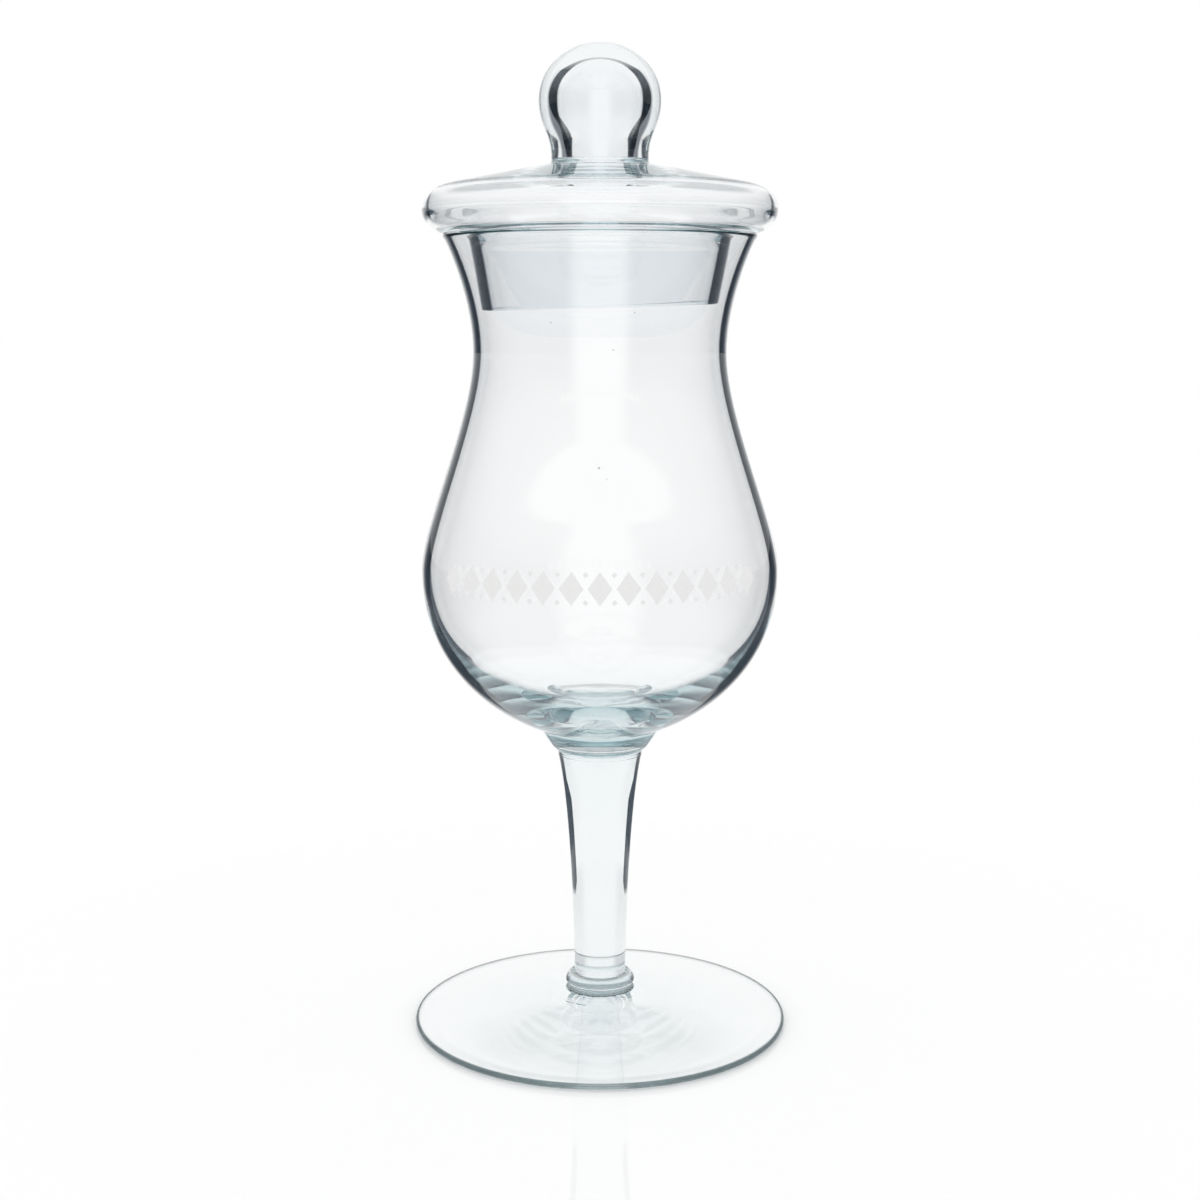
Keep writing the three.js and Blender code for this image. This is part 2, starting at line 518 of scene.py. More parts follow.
@dataclass
class TurnedPiece:
    """A piece of glass that is turned about the upright axis."""

    node: str
    body: str
    finish: ClearGlass
    corner: float = 0.2
    fused_heights: tuple[float, ...] = ()
    fused_radius: float = 0.0
    base: float = 0.0
    # The bands of painted shade, by height over the piece's base.
    bands: tuple[PaintedShadeBand, ...] = ()

    def profile(self) -> list[Point]:
        """Gives the points of the section, from the axis or the lowest ring round to its start."""
        raise NotImplementedError

    def band(self, side: Side, radius: float, height: float) -> PaintedShadeBand | None:
        """Gives the band of painted shade that the wall shows at a point, or none."""
        return band_at(self.bands, height - self.base)

    def facing(self, share: float, normal_rise: float, height: float) -> float:
        """Gives the facing value of a share of the radius at a height."""
        return facing_beside(share, normal_rise, height)

    def work_by_hand(self, shape: bmesh.types.BMesh) -> None:
        """Adds what the glassmaker's hand left on the piece, nothing unless a piece says so."""

    def build(self) -> bpy.types.Object:
        """Turns the section into a closed solid, softens its corners and dresses it.

        Returns:
            The piece, riding on its body in the place of its CAD node.
        """
        shape = self.turn()
        self.mark(shape)
        self.work_by_hand(shape)
        piece = place_mesh(shape, f"glass_{self.node}", self.node)
        piece.data.materials.append(self.finish.material())
        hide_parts(self.node)
        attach(piece, self.body)
        log.info("%s: %d faces", piece.name, len(piece.data.polygons))
        return piece

    def turn(self) -> bmesh.types.BMesh:
        """Spins the section round the axis and rounds its corners.

        Returns:
            The closed solid, in metres.
        """
        points = self.profile()
        closed = points[0][0] > 0
        points = refine(points, closed, self.corner, LONGEST_STEP)
        shape = bmesh.new()
        ring = [shape.verts.new((radius * MM, 0, height * MM)) for radius, height in points]
        pairs = list(zip(ring, ring[1:]))
        if closed:
            pairs.append((ring[-1], ring[0]))
        section = [shape.edges.new(pair) for pair in pairs]
        bmesh.ops.spin(
            shape,
            geom=ring + section,
            cent=(0, 0, 0),
            axis=(0, 0, 1),
            angle=math.tau,
            steps=TURN_STEPS,
            use_merge=True,
            use_duplicate=False,
        )
        bmesh.ops.remove_doubles(shape, verts=shape.verts, dist=SAME_VERTEX)
        bmesh.ops.recalc_face_normals(shape, faces=shape.faces)
        corners = [e for e in shape.edges if e.calc_face_angle(0) > CORNER_ANGLE]
        bmesh.ops.bevel(
            shape,
            geom=corners,
            offset=self.corner * MM,
            offset_type="OFFSET",
            affect="EDGES",
            segments=CORNER_SEGMENTS,
            profile=0.5,
            material=-1,
            clamp_overlap=True,
        )
        bmesh.ops.recalc_face_normals(shape, faces=shape.faces)
        return shape

    def mark(self, shape: bmesh.types.BMesh) -> None:
        """Marks the fused faces, the sharp rings round them and each wall's painted shade.

        Args:
            shape: the piece's solid.
        """
        fused = shape.faces.layers.float.new("fused")
        start, end, strength, softness = (
            shape.verts.layers.float.new(f"band_{name}")
            for name in ("start", "end", "strength", "softness")
        )
        for face in shape.faces:
            face.smooth = True
            middle = face.calc_center_median() / MM
            level = any(abs(middle.z - height) < SAME_LEVEL for height in self.fused_heights)
            flat = abs(face.normal.z) > LEVEL_NORMAL
            if level and flat and middle.xy.length < self.fused_radius:
                face[fused] = 1.0
        for edge in shape.edges:
            edge.smooth = len({round(face[fused]) for face in edge.link_faces}) == 1
        # Each vertex keeps where its wall's painted shade starts and ends, how strong and how soft
        # it is.
        for vert in shape.verts:
            outward = vert.normal.x * vert.co.x + vert.normal.y * vert.co.y
            side = Side.OUTER if outward >= 0 else Side.INNER
            height = vert.co.z / MM
            band = self.band(side, vert.co.xy.length / MM, height)
            if band is None:
                vert[start], vert[end], vert[softness] = BANDLESS_START, PAST_EDGE, SOFT_EDGE
                continue
            rise = vert.normal.z
            vert[start] = self.facing(band.start, rise, height) if band.start > 0 else ALL_OVER
            vert[end] = self.facing(band.end, rise, height) if band.end <= 1 else PAST_EDGE
            vert[strength] = band.strength
            vert[softness] = band.softness


@dataclass
class Foot(TurnedPiece):
    """The foot: a shallow cone, hollow underneath, that stands on a ground ring near its edge."""

    radius: float = 37.5
    edge_thickness: float = 1.3
    edge_rounding: float = 0.4
    height: float = FOOT_TOP
    middle_thickness: float = 3.0
    ring_width: float = 3.0
    ring_inset: float = 0.9
    ring_lift: float = 0.1
    middle_radius: float = COLLAR_RADIUS
    underside_curve: Curve = Curve((0.1, 0), (0.35, 0.55), 110)
    edge_curve: Curve = Curve((0.55, 0), (1, 0.45), 10)
    edge_steps: int = 10
    top_curve: Curve = Curve((0.38, 0.16), (0.75, 0.62), 110)
    rim_margin: float = 0.1
    # Painted shade at the ends of the rim.
    rim_painted_shade: PaintedShadeBand = PaintedShadeBand(0, 0, strength=0.65)
    tool_mark_radius: float = 9.5
    tool_mark_rise: float = 0.12
    tool_mark_width: float = 0.25
    tool_mark_start: float = 190.0
    tool_mark_span: float = 64.0
    tool_mark_rings: tuple[float, ...] = (1, 0.5, 0, -0.5, -1)

    def profile(self) -> list[Point]:
        """Gives the foot's section, with close rings of points where the tool mark rises.

        Returns:
            Its points, from the hollow's middle outwards and back over the top.
        """
        ring_outer = self.radius - self.ring_inset
        underside = bend(
            (0, self.height - self.middle_thickness),
            (ring_outer - self.ring_width, self.ring_lift),
            self.underside_curve,
        )
        top_edge = (self.radius - self.edge_rounding, self.edge_thickness)
        widest = (self.radius, self.edge_thickness / 2)
        edge = outline(
            bend((ring_outer, 0), widest, self.edge_curve),
            dome(widest, top_edge, self.edge_steps),
        )
        middle = (self.middle_radius, self.height - JOINT_GAP)
        top = bend(top_edge, middle, self.top_curve)
        heights = [(height, radius) for radius, height in reversed(top)]
        for share in self.tool_mark_rings:
            radius = self.tool_mark_radius + share * self.tool_mark_width
            top.append((radius, radius_at(heights, radius)))
        top.sort(reverse=True)
        return outline(underside, edge, top, [(0, self.height - JOINT_GAP)])

    def band(self, side: Side, radius: float, height: float) -> PaintedShadeBand | None:
        """Gives the painted shade at the rim's ends, where the eye looks along the sheet's edge."""
        inner_edge = self.radius - self.edge_rounding - self.rim_margin
        return None if radius < inner_edge else self.rim_painted_shade

    def work_by_hand(self, shape: bmesh.types.BMesh) -> None:
        """Raises the fine ridge that the tool pressed up beside the collar.

        Args:
            shape: the foot's solid.
        """
        for vert in shape.verts:
            aside = abs(vert.co.xy.length / MM - self.tool_mark_radius) / self.tool_mark_width
            turn = math.degrees(math.atan2(vert.co.y, vert.co.x)) % 360
            along = (turn - self.tool_mark_start) / self.tool_mark_span
            on_top = vert.normal.z > 0.5
            if on_top and aside < 1 and 0 < along < 1:
                crest = (1 - aside**2) * along * math.sin(math.pi * along**3)
                vert.co.z += crest * self.tool_mark_rise * MM


@dataclass
class Collar(TurnedPiece):
    """The bead of glass that joins the foot to the stem.

    Its bands are painted shade: the dark seam at the foot, the bead's dark sides and the faint
    seam at the stem.
    """

    base: float = FOOT_TOP
    height: float = 3.4
    radius: float = COLLAR_RADIUS
    lip: float = 0.35
    stem_radius: float = STEM_FOOT_RADIUS
    lower_steps: int = 6
    upper_steps: int = 10
    ragged_height: float = 0.9
    ragged_width: float = 1.0
    ragged_grain: float = 0.8
    ragged_depth: float = 0.5
    seam_strength: float = 0.97
    seam_wander: float = 0.5
    # Painted shade, by height over the foot.
    bands: tuple[PaintedShadeBand, ...] = (
        PaintedShadeBand(0.3, 0, strength=0.99),
        PaintedShadeBand(0.55, 0, strength=0.0),
        PaintedShadeBand(0.56, 0.9, strength=0.0),
        PaintedShadeBand(0.9, 0.9, strength=0.96, softness=0.1),
        PaintedShadeBand(2.4, 0.9, strength=0.96, softness=0.1),
        PaintedShadeBand(3.1, 0.9, strength=0.0),
        PaintedShadeBand(3.11, 0, strength=0.0),
        PaintedShadeBand(3.3, 0, strength=0.75),
    )

    def profile(self) -> list[Point]:
        """Gives the collar's section.

        Returns:
            Its points, from the axis round the bead and back.
        """
        low = (self.radius - self.lip, self.base + JOINT_GAP)
        middle = (self.radius, self.base + self.height / 2)
        high = (self.stem_radius + self.lip, self.base + self.height - JOINT_GAP)
        lower = dome(low, middle, self.lower_steps)
        upper = dome(middle, high, self.upper_steps)
        return outline([(0, low[1])], lower, upper, [(0, high[1])])

    def work_by_hand(self, shape: bmesh.types.BMesh) -> None:
        """Makes the seam at the foot ragged, as the hot bead was squeezed on by hand, and lets its
        painted shade come and go.

        Args:
            shape: the collar's solid.
        """
        top = (self.base + self.ragged_height) * MM
        strength = shape.verts.layers.float["band_strength"]
        for vert in shape.verts:
            if vert.co.z < top and vert.co.xy.length > (self.radius - self.ragged_width) * MM:
                fade = (top - vert.co.z) / (self.ragged_height * MM)
                push = noise.noise(vert.co.xy.to_3d() / (self.ragged_grain * MM))
                # The seam's painted shade comes and goes with the same noise.
                vert[strength] *= min(1.0, self.seam_strength + push * self.seam_wander)
                vert.co.xy *= 1 + push * fade * self.ragged_depth / self.radius


@dataclass
class Stem(TurnedPiece):
    """The drawn solid stem, waisted near its foot and wide under the bowl.

    Its bands of painted shade run down its sides and end above its narrow part.
    """

    base: float = COLLAR_TOP
    length: float = 45.5
    foot_radius: float = STEM_FOOT_RADIUS
    top_radius: float = STEM_TOP_RADIUS
    side_curve: Curve = Curve((0.03, 0.29), (0.35, 0.79), 60)
    # Painted shade down the sides, by height over the collar.
    bands: tuple[PaintedShadeBand, ...] = (
        PaintedShadeBand(16.6, 0.88, 0.95, 0.0),
        PaintedShadeBand(17.4, 0.86, 0.97),
        PaintedShadeBand(20, 0.8, 0.98),
        PaintedShadeBand(37, 0.8, 0.98),
        PaintedShadeBand(41, 0.88, 0.985),
        PaintedShadeBand(45.3, 0.88, 0.99, 0.97),
    )

    def profile(self) -> list[Point]:
        """Gives the stem's section.

        Returns:
            Its points, from the axis up the side and back.
        """
        low = (self.foot_radius, self.base + JOINT_GAP)
        high = (self.top_radius, self.base + self.length - JOINT_GAP)
        return outline([(0, low[1])], bend(low, high, self.side_curve), [(0, high[1])])


@dataclass
class Bowl(TurnedPiece):
    """The tulip bowl: a thick base over a melted ledge, a round belly, a waist and a flared rim.

    Its bands are painted shade, from the base up: the ledge's dark ends, the two lines round the
    button, the dark wedge where the wall thickens, and the line along the wall, which is as wide as
    the wall is thick. The seeds are tiny bubbles in the wall: how far beside the axis each one
    lies, how high, and how large it is.
    """

    base: float = STEM_TOP
    height: float = 101.6
    stem_radius: float = STEM_TOP_RADIUS
    ledge: float = 0.8
    ledge_melt: float = 1.35
    ledge_melt_height: float = 2.0
    button_flare: float = 2.85
    button_height: float = 5.4
    belly_radius: float = 34.95
    belly_height: float = 37.1
    waist_radius: float = 24.55
    waist_height: float = 79.8
    rim_radius: float = RIM_RADIUS
    wall: float = WALL
    floor_thickness: float = 7.3
    ledge_curve: Curve = Curve((0.02, 0.55), (0.55, 0.62), 14)
    button_curve: Curve = Curve((0.33, 0.33), (0.66, 0.66), 40)
    belly_curve: Curve = Curve((0.6, 0.17), (1, 0.515), 100)
    waist_curve: Curve = Curve((0, 0.21), (1, 0.7), 70)
    flare_curve: Curve = Curve((0, 0.34), (0.47, 0.72), 40)
    floor_curve: Curve = Curve((0, 0.78), (0.64, 0.93), 100)
    ripple_length: float = 3.2
    ripple_rise: float = 0.18
    ripple_height: float = 3.0
    ripple_floor: float = 2.0
    seeds: tuple[tuple[float, float, float], ...] = (
        (-0.2, 114.6, 0.4),
        (2.4, 135.7, 0.3),
        (-8.8, 140.6, 0.25),
        (6.2, 142.4, 0.25),
        (1.2, 112.6, 0.2),
    )
    # Painted shade, by height over the stem.
    bands: tuple[PaintedShadeBand, ...] = (
        PaintedShadeBand(1.0, 0.85, strength=0.9, softness=0.1),
        PaintedShadeBand(1.6, 0.85, strength=0.9, softness=0.1),
        PaintedShadeBand(1.8, 0, strength=0.0),
        PaintedShadeBand(2.05, 0, strength=0.97),
        PaintedShadeBand(2.25, 0, strength=0.0),
        PaintedShadeBand(2.4, 0, strength=0.0),
        PaintedShadeBand(2.55, 0, strength=0.9),
        PaintedShadeBand(2.8, 0, strength=0.5),
        PaintedShadeBand(3.6, 0, strength=0.6),
        PaintedShadeBand(3.9, 0, strength=0.0),
        PaintedShadeBand(5.4, 0.6, strength=0.3, softness=0.3),
        PaintedShadeBand(9.0, 0.6, strength=0.4, softness=0.25),
        PaintedShadeBand(11.0, 0.62, strength=0.75, softness=0.2),
        PaintedShadeBand(14.4, 0.7, strength=0.95, softness=0.1),
        PaintedShadeBand(14.8, 0.76, strength=0.95, softness=0.03),
        PaintedShadeBand(16.1, 0.8, strength=0.95, softness=0.02),
        PaintedShadeBand(19.4, 0.862, 0.995, 0.98, 0.012),
        PaintedShadeBand(21.4, 0.875, 0.99, 0.97, 0.012),
        PaintedShadeBand(24.0, 0.9, 0.985, 0.95),
        PaintedShadeBand(27.0, 0.925, 0.98, 0.95),
        PaintedShadeBand(30.3, 0.945, 0.975, 0.92),
        PaintedShadeBand(34.0, 0.955, 0.99),
    )
    # Painted shade on the inner wall, above inner_band_height.
    inner_band: PaintedShadeBand = PaintedShadeBand(0, 0.985)
    inner_band_height: float = 18.0
    # Where the painted shade along the upper wall starts and ends.
    line_start: float = 0.93
    line_margin: float = 0.01
    line_end: float = 0.993

    def __post_init__(self) -> None:
        """Works out the inner line once, for the bands."""
        self.inner_line = self.inside()

    def upper(self, inset: float) -> list[Point]:
        """Gives the line from belly to rim.

        Args:
            inset: how far the line is moved in, a wall's thickness for the inner one.

        Returns:
            The points of the line, from the belly up.
        """
        belly = (self.belly_radius - inset, self.base + self.belly_height)
        waist = (self.waist_radius - inset, self.base + self.waist_height)
        rim = (self.rim_radius - inset, self.base + self.height)
        return outline(bend(belly, waist, self.waist_curve), bend(waist, rim, self.flare_curve))

    def outside(self) -> list[Point]:
        """Gives the outer line from the button to the rim.

        Returns:
            The points of the line, from the button up.
        """
        ledge_radius = self.stem_radius + self.ledge
        button = (ledge_radius + self.button_flare, self.base + self.button_height)
        belly = (self.belly_radius, self.base + self.belly_height)
        return outline(bend(button, belly, self.belly_curve), self.upper(0))

    def inside(self) -> list[Point]:
        """Gives the inner line from the middle of the floor to the rim.

        Returns:
            The points of the line, from the floor up.
        """
        belly = (self.belly_radius - self.wall, self.base + self.belly_height)
        floor = bend(belly, (0, self.base + self.floor_thickness), self.floor_curve)
        return outline(floor[::-1], self.upper(self.wall))

    def profile(self) -> list[Point]:
        """Gives the bowl's section.

        Returns:
            Its points, from the axis out over the ledge, up the outside and down the inside.
        """
        low = (self.stem_radius, self.base + JOINT_GAP)
        ledge = (self.stem_radius + self.ledge_melt, self.base + self.ledge_melt_height)
        step = bend(low, ledge, self.ledge_curve)
        button = bend(ledge, self.outside()[0], self.button_curve)
        return outline([(0, low[1])], step, button, self.outside(), self.inside()[::-1])

    def band(self, side: Side, radius: float, height: float) -> PaintedShadeBand | None:
        """Gives the band of painted shade along the bowl's wall.

        Args:
            side: which wall the point is on.
            radius: how far the point is from the axis.
            height: how high it is over the table.

        Returns:
            The band there, or none on the inside of the base.
        """
        rise = height - self.base
        if side is Side.INNER:
            return self.inner_band if rise > self.inner_band_height else None
        if height < self.base + self.bands[-1].height:
            return band_at(self.bands, rise)
        inner = radius_at(self.inner_line, height)
        start = max(self.line_start, inner / radius - self.line_margin)
        return PaintedShadeBand(height, start, self.line_end)

    def work_by_hand(self, shape: bmesh.types.BMesh) -> None:
        """Lets the floor wander a little and leaves the seeds in the wall.

        Args:
            shape: the bowl's solid.
        """
        low = self.base + self.ripple_floor
        high = self.base + self.floor_thickness + self.ripple_height
        for vert in shape.verts:
            inside = vert.normal.z > 0.1
            if inside and low < vert.co.z / MM < high:
                fade = (high - vert.co.z / MM) / self.ripple_height
                push = noise.noise(vert.co.xy.to_3d() / (self.ripple_length * MM))
                vert.co.z += push * fade * self.ripple_rise * MM
        wall = self.outside()
        for across, height, size in self.seeds:
            depth = radius_at(wall, height) - self.wall / 2
            back = math.sqrt(depth**2 - across**2)
            bubble = bmesh.ops.create_icosphere(
                shape,
                subdivisions=2,
                radius=size / 2 * MM,
                matrix=Matrix.Translation((across * MM, -back * MM, height * MM)),
            )
            faces = {face for vert in bubble["verts"] for face in vert.link_faces}
            bmesh.ops.reverse_faces(shape, faces=list(faces))
            for face in faces:
                face.smooth = True


@dataclass
class LidCover(TurnedPiece):
    """The blown cover: a low cone, a hollow bulging flange and a skirt that hangs in the mouth.

    Its bands are painted shade: the thin line round the flange and the sheen's dark ends on the
    shoulder. The skirt's own band of painted shade is as wide as its wall is thick.
    """

    base: float = BOWL_RIM
    rim_radius: float = RIM_RADIUS
    rim_wall: float = WALL
    overhang: float = 3.8
    widest_height: float = 5.05
    shoulder_height: float = 9.45
    shoulder_inset: float = 4.5
    flange_wall: float = 0.85
    seat_wall: float = 1.2
    height: float = 14.1
    crown_spread: float = 3.85
    crown_drop: float = 1.3
    crown_wall: float = 1.9
    skirt_length: float = 13.4
    skirt_wall: float = 2.1
    skirt_tip: float = 22.79
    skirt_root: float = 25.29
    root_fillet: float = 1.3
    hollow_drop: float = 2.9
    hollow_spread: float = 3.6
    neck_radius: float = NECK_RADIUS
    neck_wall: float = NECK_WALL
    fillet_curve: Curve = Curve((0.1, 0.6), (0.5, 1), 8)
    flange_curve: Curve = Curve((0.89, 0.34), (1, 0.62), 30)
    shoulder_curve: Curve = Curve((0, 0.49), (0.38, 0.83), 30)
    crown_curve: Curve = Curve((0.9, 0.2), (0.98, 0.41), 20)
    inner_crown_curve: Curve = Curve((0.05, 0.5), (0.4, 0.9), 20)
    inner_shoulder_curve: Curve = Curve((0.62, 0.17), (1, 0.51), 28)
    inner_flange_curve: Curve = Curve((0, 0.38), (0.4, 0.9), 24)
    hollow_curve: Curve = Curve((0.55, 0), (0.95, 0.45), 24)
    lean_top: float = 6.0
    lean_across: float = 0.029
    lean_back: float = 0.012
    # Painted shade, by height over the rim.
    bands: tuple[PaintedShadeBand, ...] = (
        PaintedShadeBand(1.8, 0.96, 0.972, 0.0, 0.01),
        PaintedShadeBand(3.0, 0.96, 0.972, 1.0, 0.01),
        PaintedShadeBand(7.0, 0.96, 0.972, 1.0, 0.01),
        PaintedShadeBand(8.4, 0.96, 0.972, 0.0, 0.01),
        PaintedShadeBand(8.5, 0.65, strength=0.0, softness=0.3),
        PaintedShadeBand(9.2, 0.65, strength=0.85, softness=0.3),
        PaintedShadeBand(9.8, 0.65, strength=0.85, softness=0.3),
        PaintedShadeBand(10.7, 0.65, strength=0.0, softness=0.3),
    )

    def profile(self) -> list[Point]:
        """Gives the cover's section.

        Returns:
            Its points, from the skirt's tip up the outside and back down through the hollow.
        """
        top = self.base + self.height - JOINT_GAP
        flange = self.rim_radius + self.overhang
        seat_edge = (self.rim_radius - self.rim_wall / 2, self.base + JOINT_GAP)
        widest = (flange, self.base + self.widest_height)
        shoulder = (flange - self.shoulder_inset, self.base + self.shoulder_height)
        crown = (self.neck_radius + self.crown_spread, self.base + self.height - self.crown_drop)
        tip = self.base - self.skirt_length
        slope = (self.skirt_root - self.skirt_tip) / self.skirt_length
        root = (self.skirt_root - slope * self.root_fillet, self.base - self.root_fillet)
        fillet_end = (self.skirt_root + self.root_fillet, self.base + JOINT_GAP)
        skirt = outline([(self.skirt_tip, tip)], bend(root, fillet_end, self.fillet_curve))
        outside = outline(
            bend(seat_edge, widest, self.flange_curve),
            bend(widest, shoulder, self.shoulder_curve),
            bend(crown, (self.neck_radius, top), self.crown_curve),
        )
        bore = (self.neck_radius - self.neck_wall, top)
        inner_crown = (crown[0], crown[1] - self.crown_wall)
        inner_shoulder = (shoulder[0], shoulder[1] - self.flange_wall)
        inner_widest = (widest[0] - self.flange_wall, widest[1])
        inner_seat = (seat_edge[0] - self.flange_wall, self.base + self.seat_wall)
        low = self.base - self.hollow_drop
        hollow_end = (self.skirt_root - self.skirt_wall - slope * self.hollow_drop, low)
        hollow_start = (hollow_end[0] + self.hollow_spread, self.base + self.seat_wall)
        inside = outline(
            bend(bore, inner_crown, self.inner_crown_curve),
            bend(inner_shoulder, inner_widest, self.inner_shoulder_curve),
            bend(inner_widest, inner_seat, self.inner_flange_curve),
            bend(hollow_start, hollow_end, self.hollow_curve),
            [(self.skirt_tip - self.skirt_wall, tip)],
        )
        return outline(skirt, outside, inside)

    def band(self, side: Side, radius: float, height: float) -> PaintedShadeBand | None:
        """Gives the bands of painted shade of the skirt, the flange and the shoulder.

        Args:
            side: which wall the point is on.
            radius: how far the point is from the axis.
            height: how high it is over the table.

        Returns:
            The band there, or none on the inside.
        """
        if side is Side.INNER:
            return None
        if height < self.base:
            return PaintedShadeBand(height, 1 - self.skirt_wall / radius)
        return band_at(self.bands, height - self.base)

    def work_by_hand(self, shape: bmesh.types.BMesh) -> None:
        """Leans the lower edge of the skirt, which was cracked off and ground by hand.

        Args:
            shape: the cover's solid.
        """
        for vert in shape.verts:
            depth = self.base - self.lean_top - vert.co.z / MM
            if depth > 0:
                fade = depth / (self.skirt_length - self.lean_top)
                lift = vert.co.x * self.lean_across + vert.co.y * self.lean_back
                vert.co.z += lift * fade


@dataclass
class Knob(TurnedPiece):
    """The hollow ball and its neck, open into the lid.

    Its bands of painted shade follow the cavity inside the thick wall.
    """

    base: float = COVER_TOP
    neck_radius: float = NECK_RADIUS
    neck_wall: float = NECK_WALL
    ball_radius: float = 11.65
    ball_wall: float = 3.5
    centre_height: float = 11.2
    top_rise: float = 10.6
    top_wall: float = 3.1
    neck_curve: Curve = Curve((-0.1, 0.47), (0.98, 0.52), 44)
    top_steps: int = 40
    # Painted shade, by height over the cover.
    bands: tuple[PaintedShadeBand, ...] = (
        PaintedShadeBand(0.3, 0.56, 0.68),
        PaintedShadeBand(3.3, 0.54, 0.73),
        PaintedShadeBand(5.8, 0.65, 0.745, 0.9),
        PaintedShadeBand(7.5, 0.7, 0.79),
        PaintedShadeBand(10, 0.69, 0.83),
        PaintedShadeBand(13.5, 0.7, 0.83),
        PaintedShadeBand(15.8, 0.71, 0.82),
        PaintedShadeBand(16.6, 0.72, 0.78, 0.9),
        PaintedShadeBand(17.8, 0.72, 0.75, 0.6),
        PaintedShadeBand(18.4, 0.72, 0.735, 0.3),
        PaintedShadeBand(19, 0.715, 0.73, 0.9),
    )

    def wall_line(self, neck: float, ball: float, rise: float) -> list[Point]:
        """Gives one wall of the knob.

        Args:
            neck: its radius at the neck.
            ball: its widest radius, at the ball's middle.
            rise: how high it goes over the ball's middle.

        Returns:
            The points of the wall, from the neck to the top of the ball.
        """
        low = (neck, self.base + JOINT_GAP)
        widest = (ball, self.base + self.centre_height)
        top = (0, widest[1] + rise)
        return outline(bend(low, widest, self.neck_curve), dome(widest, top, self.top_steps))

    def profile(self) -> list[Point]:
        """Gives the knob's section.

        Returns:
            Its points, from the top of its cavity down and up its outside.
        """
        outer = self.wall_line(self.neck_radius, self.ball_radius, self.top_rise)
        cavity = self.wall_line(
            self.neck_radius - self.neck_wall,
            self.ball_radius - self.ball_wall,
            self.top_rise - self.top_wall,
        )
        return outline(cavity[::-1], outer)

    def facing(self, share: float, normal_rise: float, height: float) -> float:
        """Gives the facing value of a share of the ball's radius, in any direction."""
        return facing_at(share)

    def band(self, side: Side, radius: float, height: float) -> PaintedShadeBand | None:
        """Gives the painted shade at a height of the outer wall, and none on the inner one."""
        return None if side is Side.INNER else band_at(self.bands, height - self.base)


@dataclass(frozen=True)
class FiredPrint:
    """Enamel print, fired on glass: a matt pale grey film that hides the shine of the wall.

    It scatters light in place of mirroring it, and its grain leaves it a little uneven.
    """

    name: str = "fired_enamel_print"
    pale_hex: str = "efefee"
    deep_hex: str = "e4e4e4"
    roughness: float = 0.6
    grain: float = 0.35
    grain_detail: float = 2.0
    grain_rise: float = 0.01
    grain_strength: float = 0.5

    def material(self) -> bpy.types.Material:
        """Builds the material.

        Returns:
            The print's enamel.
        """
        made = new_material(self.name)
        tree = made.node_tree
        place = add_node(tree, "ShaderNodeTexCoord", {}, {})
        specks = add_node(
            tree,
            "ShaderNodeTexNoise",
            {"Scale": 1 / (self.grain * MM), "Detail": self.grain_detail},
            {"Vector": place.outputs["Object"]},
        )
        paint = add_node(
            tree,
            "ShaderNodeMix",
            {"data_type": "RGBA", 6: linear(self.pale_hex), 7: linear(self.deep_hex)},
            {0: specks.outputs["Fac"]},
        )
        grain = add_node(
            tree,
            "ShaderNodeBump",
            {"Strength": self.grain_strength, "Distance": self.grain_rise * MM},
            {"Height": specks.outputs["Fac"]},
        )
        film = add_node(
            tree,
            "ShaderNodeBsdfPrincipled",
            {"Roughness": self.roughness},
            {"Base Color": paint.outputs[2], "Normal": grain.outputs[0]},
        )
        add_node(tree, "ShaderNodeOutputMaterial", {}, {"Surface": film.outputs[0]})
        return made


